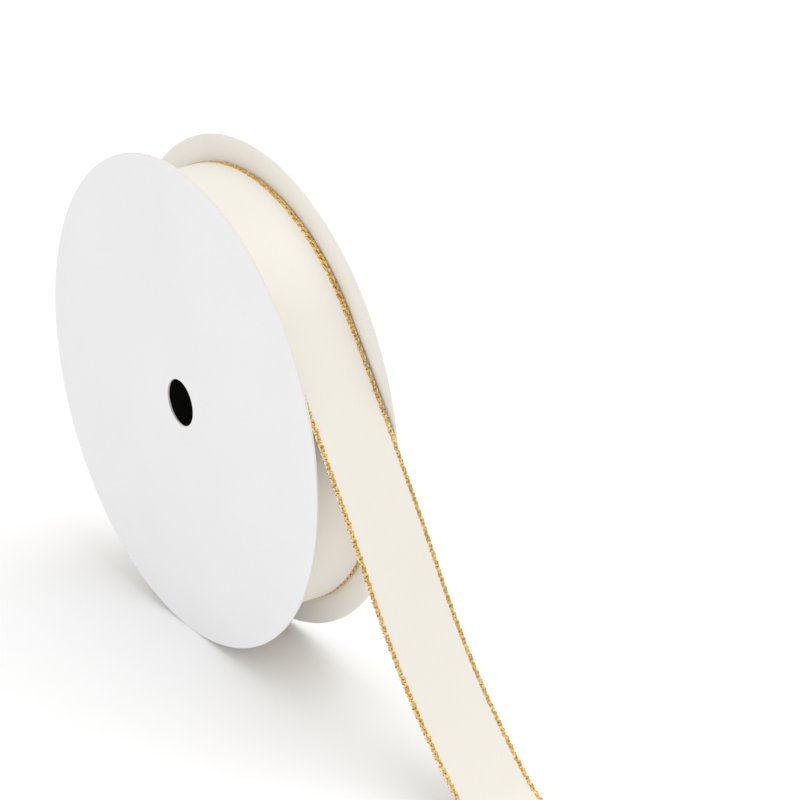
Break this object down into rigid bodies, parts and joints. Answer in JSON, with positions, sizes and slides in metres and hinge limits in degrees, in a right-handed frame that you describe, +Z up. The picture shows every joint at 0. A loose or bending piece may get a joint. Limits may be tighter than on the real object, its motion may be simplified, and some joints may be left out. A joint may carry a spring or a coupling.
{
  "type": "ribbon spool",
  "caption": "Card reel on its rims, wound with cream satin ribbon with a gold edge yarn; the free end runs out onto the table.",
  "frame": {"origin": "on the table, at the middle of the footprint of the reel and its free ribbon end", "axes": "+X along the reel's axle from the near flange to the far one, -Y forward along the free ribbon end, +Z up"},
  "size_m": [0.0224, 0.232, 0.125],
  "materials": {
    "white_card": "matte",
    "grey_card": "matte",
    "glue": "satin",
    "tape": "gloss",
    "satin": "satin",
    "gold_yarn": "polished"
  },
  "bodies": {
    "free_end": {"free_ribbon": "satin", "near_free_gold_edge": "gold_yarn", "far_free_gold_edge": "gold_yarn"},
    "reel": {"near_flange": "white_card", "far_flange": "white_card", "core_tube": "grey_card", "near_glue_bead": "glue", "far_glue_bead": "glue", "tape_tab": "tape", "wound_ribbon": "satin", "near_wound_gold_edge": "gold_yarn", "far_wound_gold_edge": "gold_yarn"}
  },
  "joints": [
    {"name": "reel_turn", "type": "hinge", "parent": "free_end", "child": "reel", "pos_m": [0, 0.05349, 0.0625], "axis": [1, 0, 0], "continuous": true}
  ]
}
